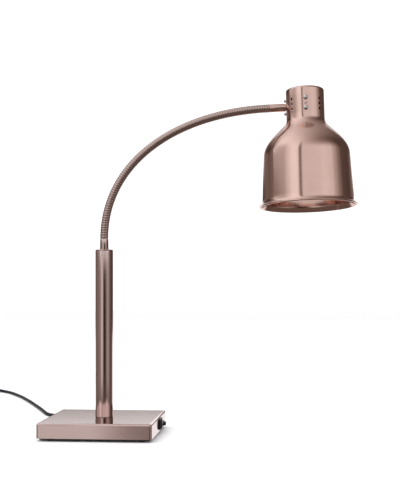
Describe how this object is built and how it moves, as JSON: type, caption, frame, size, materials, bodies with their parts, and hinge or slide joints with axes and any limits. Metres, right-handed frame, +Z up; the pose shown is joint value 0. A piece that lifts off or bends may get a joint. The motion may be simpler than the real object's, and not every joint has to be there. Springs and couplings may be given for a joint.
{
  "type": "heat lamp warmer",
  "caption": "Countertop food-warming heat lamp: weighted square base, round column, flexible gooseneck arm and bell shade over a reflector lamp.",
  "frame": {"origin": "on the floor, under the middle of the lamp's own length and width, without the cord", "axes": "+Z up, +X from the column towards the shade, -Y towards the viewer who has the shade on the right"},
  "size_m": [0.9715, 0.8359, 0.6235],
  "materials": {
    "copper_steel": "brushed antique copper plate, satin",
    "copper_aluminium": "spun and brushed, antique copper plate, satin",
    "zinc_steel": "zinc plated",
    "cast_iron": "rough cast",
    "black_plate": "black powder coat",
    "rubber": "black, matt",
    "black_plastic": "black, semi-gloss",
    "cord_sheath": "black, smooth",
    "lead_sleeve": "heat-resistant sleeve, natural",
    "nickel": "nickel plated, bright",
    "brass": "plain",
    "porcelain": "glazed",
    "lamp_glass": "frosted face, silvered inside behind it",
    "block_plastic": "moulded, off-white"
  },
  "bodies": {
    "base": {"base_cover": "copper_steel", "bottom_plate": "black_plate", "foot_front_left": "rubber", "foot_front_right": "rubber", "foot_back_left": "rubber", "foot_back_right": "rubber", "counterweight": "cast_iron", "plate_screw_1": "nickel", "plate_screw_2": "nickel", "column": "copper_steel", "column_nipple": "brass", "column_nut": "zinc_steel", "column_cap": "copper_steel", "ferrule_lower": "copper_steel", "gooseneck_0": "copper_steel", "lead_column": "lead_sleeve", "switch_housing": "black_plastic", "reset_body": "black_plastic", "reset_nut": "nickel", "terminal_block": "block_plastic", "lead_supply": "cord_sheath", "lead_switch": "lead_sleeve", "cable_gland": "rubber", "mains_cord": "cord_sheath", "cord_coil": "cord_sheath", "cord_tie": "rubber", "cord_tail": "cord_sheath", "plug_body": "black_plastic", "plug_blade_left": "nickel", "plug_blade_right": "nickel", "plug_earth_pin": "nickel"},
    "arm_1": {"gooseneck_1": "copper_steel", "lead_neck_1": "lead_sleeve"},
    "arm_2": {"gooseneck_2": "copper_steel", "lead_neck_2": "lead_sleeve"},
    "arm_3": {"gooseneck_3": "copper_steel", "lead_neck_3": "lead_sleeve"},
    "arm_4": {"gooseneck_4": "copper_steel", "lead_neck_4": "lead_sleeve"},
    "arm_5": {"gooseneck_5": "copper_steel", "lead_neck_5": "lead_sleeve"},
    "head": {"gooseneck_6": "copper_steel", "lead_head": "lead_sleeve", "ferrule_upper": "copper_steel", "arm_plate": "zinc_steel", "arm_nut": "zinc_steel", "arm_screw_upper": "nickel", "arm_screw_lower": "nickel", "shade": "copper_aluminium", "socket_bracket": "zinc_steel", "bracket_screw_front_upper": "nickel", "bracket_screw_front_lower": "nickel", "bracket_screw_back_upper": "nickel", "bracket_screw_back_lower": "nickel", "bracket_rivet": "nickel", "lampholder": "porcelain", "lamp_cap": "brass", "lamp_glass": "lamp_glass"},
    "rocker": {"switch_rocker": "black_plastic"},
    "reset_button": {"reset_button": "black_plastic"}
  },
  "joints": [
    {"name": "neck_bend_1", "type": "hinge", "parent": "base", "child": "arm_1", "pos_m": [-0.17683, 0, 0.37995], "axis": [0, 1, 0], "range_deg": [-10, 14]},
    {"name": "neck_sway_2", "type": "hinge", "parent": "arm_1", "child": "arm_2", "pos_m": [-0.15449, 0, 0.45128], "axis": [-0.8798, 0, 0.4753], "range_deg": [-12, 12]},
    {"name": "neck_bend_3", "type": "hinge", "parent": "arm_2", "child": "arm_3", "pos_m": [-0.10769, 0, 0.50965], "axis": [0, 1, 0], "range_deg": [-10, 14]},
    {"name": "neck_sway_4", "type": "hinge", "parent": "arm_3", "child": "arm_4", "pos_m": [-0.0451, 0, 0.55091], "axis": [-0.4369, 0, 0.8995], "range_deg": [-12, 12]},
    {"name": "neck_bend_5", "type": "hinge", "parent": "arm_4", "child": "arm_5", "pos_m": [0.02559, 0, 0.57616], "axis": [0, 1, 0], "range_deg": [-10, 14]},
    {"name": "neck_sway_6", "type": "hinge", "parent": "arm_5", "child": "head", "pos_m": [0.09978, 0, 0.58787], "axis": [-0.0762, 0, 0.9971], "range_deg": [-12, 12]},
    {"name": "switch_rock", "type": "hinge", "parent": "base", "child": "rocker", "pos_m": [-0.07917, 0.012, 0.018], "axis": [0, 0, 1], "range_deg": [-20, 0]},
    {"name": "reset_press", "type": "slide", "parent": "base", "child": "reset_button", "axis": [-1, 0, 0], "range_m": [0, 0.002], "stiffness_N_per_m": 800}
  ],
  "couplings": [
    {"joint": "neck_bend_3", "follows": "neck_bend_1", "ratio": 1},
    {"joint": "neck_bend_5", "follows": "neck_bend_1", "ratio": 1},
    {"joint": "neck_sway_4", "follows": "neck_sway_2", "ratio": 1},
    {"joint": "neck_sway_6", "follows": "neck_sway_2", "ratio": 1}
  ]
}
